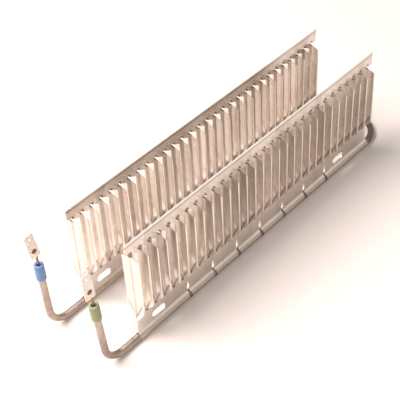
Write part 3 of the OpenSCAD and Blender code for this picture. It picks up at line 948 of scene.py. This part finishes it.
def corner_normals(mesh, limit_degrees):
    """One normal for each triangle corner.

    It is the sum of the normals of the triangles round the same vertex that turn less than
    the limit from the corner's own triangle, each weighted by its area and by its angle at
    the vertex. Long thin triangles beside a curve then don't tip a flat face's normals.
    """
    count = len(mesh.loops)
    vertex = np.empty(count, dtype=np.int32)
    mesh.loops.foreach_get("vertex_index", vertex)
    corners = vertex_places(mesh)[vertex].reshape(-1, 3, 3)
    ahead = np.roll(corners, -1, axis=1) - corners
    behind = np.roll(corners, 1, axis=1) - corners
    lengths = np.linalg.norm(ahead, axis=2) * np.linalg.norm(behind, axis=2)
    cosine = (ahead * behind).sum(axis=2) / np.maximum(lengths, TINY)
    angle = np.arccos(np.clip(cosine, -1.0, 1.0))
    normal = np.cross(ahead[:, 0], ahead[:, 1])
    area = np.linalg.norm(normal, axis=1)
    unit = np.repeat(normal / np.maximum(area, TINY)[:, None], 3, axis=0)
    weight = (angle * area[:, None]).ravel()
    order = np.argsort(vertex, kind="stable")
    start, place, size = np.unique(
        vertex[order], return_index=True, return_inverse=True, return_counts=True)[1:]
    mates = size[place]
    first = np.repeat(np.arange(count), mates)
    step = np.arange(mates.sum()) - np.repeat(np.cumsum(mates) - mates, mates)
    one = order[first]
    two = order[start[place][first] + step]
    close = (unit[one] * unit[two]).sum(axis=1) > math.cos(math.radians(limit_degrees))
    one, two = one[close], two[close]
    share = weight[two, None] * unit[two]
    sums = np.stack([np.bincount(one, share[:, axis], count) for axis in range(3)], axis=1)
    return sums / np.maximum(np.linalg.norm(sums, axis=1), TINY)[:, None]


print("copies join what lies within", MERGE_WITHIN / MM, "mm")

# %% [markdown]
# On the real element no two fins stand quite alike, since a punch bent each one. So each
# flap of the copy is turned about its root by its own small angle, 3.2 degrees at most. A
# vertex moves along X in step with its distance from the sheet. Shearing also curls the
# free edges a little, so the flaps are cut near them and the outer strip is bent over.

# %% Bent flaps
FLAPS_ABOVE = AXIS_Z + 22 * MM
FOLD = 0.8 * MM
TURN_SPREAD = math.radians(1.6)
MOST_TURN = 2 * TURN_SPREAD
MOST_FINS = 64
CURL_WIDTH = 1.0 * MM
CURL_SHIFT = 0.45 * MM
CURL_CUTS = (0.0, 0.55)


def curl_rims(mesh, centre_y):
    """Cuts the flaps near their free edges and curls the outer strip towards +X.

    The shift grows with the square of the distance past the cut, from 0 to CURL_SHIFT.
    """
    work = bmesh.new()
    work.from_mesh(mesh)
    for side in (-1.0, 1.0):
        for share in CURL_CUTS:
            cut_y = centre_y + side * (FIN_REACH - CURL_WIDTH * (1.0 - share))
            everything = work.verts[:] + work.edges[:] + work.faces[:]
            bmesh.ops.bisect_plane(
                work, geom=everything, plane_co=(0.0, cut_y, 0.0), plane_no=(0.0, 1.0, 0.0))
    bmesh.ops.triangulate(work, faces=work.faces[:])
    work.to_mesh(mesh)
    work.free()
    co = vertex_places(mesh)
    past_cut = np.abs(co[:, 1] - centre_y) - FIN_REACH + CURL_WIDTH
    past = np.clip(past_cut / CURL_WIDTH, 0.0, 1.0)
    co[:, 0] += np.where(co[:, 2] > FLAPS_ABOVE, CURL_SHIFT * past ** 2, 0.0)
    move_vertices(mesh, co)


def turn_flaps(mesh, centre_y, seed):
    """Turns each flap about its root by its own small angle.

    A vertex moves by tan(angle) times its distance past the fold, along X.
    """
    co = vertex_places(mesh)
    out = co[:, 1] - centre_y
    past = np.maximum(np.abs(out) - FOLD, 0.0)
    fin = np.rint((co[:, 0] - FIRST_HINGE) / FIN_PITCH).astype(int)
    draw = np.random.default_rng(seed)
    angles = draw.normal(0.0, TURN_SPREAD, size=(MOST_FINS, 2)).clip(-MOST_TURN, MOST_TURN)
    angle = angles[np.clip(fin, 0, MOST_FINS - 1), (out > 0).astype(int)]
    in_fins = (co[:, 2] > FLAPS_ABOVE) & (past > 0)
    co[:, 0] += np.where(in_fins, np.tan(angle) * past, 0.0)
    move_vertices(mesh, co)


print("flaps turn by", round(math.degrees(MOST_TURN), 1), "degrees at most")

# %% [markdown]
# The two sheets are the same piece on the two legs. Each could be bent by hand, but a
# random draw with a seed of its own gives each sheet other turns, and the same ones on
# every run.

# %% Fin sheets
def fin_sheet_object(node, name, side, seed):
    """The merged copy with its rims curled, its flaps turned and its normals worked out."""
    mesh = merged_copy(node, name)
    curl_rims(mesh, SIDE_Y[side])
    turn_flaps(mesh, SIDE_Y[side], seed)
    obj = finished(name, mesh, FIN_ALUMINIUM, sharp_degrees=180.0)
    mesh.normals_split_custom_set(corner_normals(mesh, SMOOTH_DEGREES).tolist())
    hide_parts(node)
    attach(obj, "root")
    return obj


for side, seed in (("front", 3), ("rear", 8)):
    sheet = fin_sheet_object("fin_sheet_" + side, "fin_sheet_" + side + "_bent", side, seed)
    print(sheet.name, len(sheet.data.polygons), "faces")

# %% [markdown]
# The pins, tabs and seals keep their CAD shape and only take a finish. The welding current
# burnt the pins brown where the tabs are welded on. The coil and its filling are sealed
# inside, and take a finish for anyone who cuts the element open, the coil that of the pins.

# %% Carried-over pieces
WELD_START = AXIS_Z + BEND_R + 65.5 * MM
WELD_FULL = AXIS_Z + BEND_R + 67.5 * MM
WELD_BROWN = (0.22, 0.11, 0.075)
WELD_SHARE = 0.95
repainted(PIN_STEEL, "Z", WELD_START, WELD_FULL, WELD_SHARE, WELD_BROWN)
FINISHES = {
    "terminal_pin_front": PIN_STEEL,
    "terminal_pin_rear": PIN_STEEL,
    "tab_front": TAB_STEEL,
    "tab_rear": TAB_STEEL,
    "end_seal_front": DARK_SEAL,
    "end_seal_rear": DARK_SEAL,
    "magnesia_fill": MAGNESIA,
    "resistance_coil": PIN_STEEL,
}
for node, material in FINISHES.items():
    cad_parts[node].data.materials.clear()
    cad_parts[node].data.materials.append(material)
print("finished CAD nodes:", len(FINISHES))
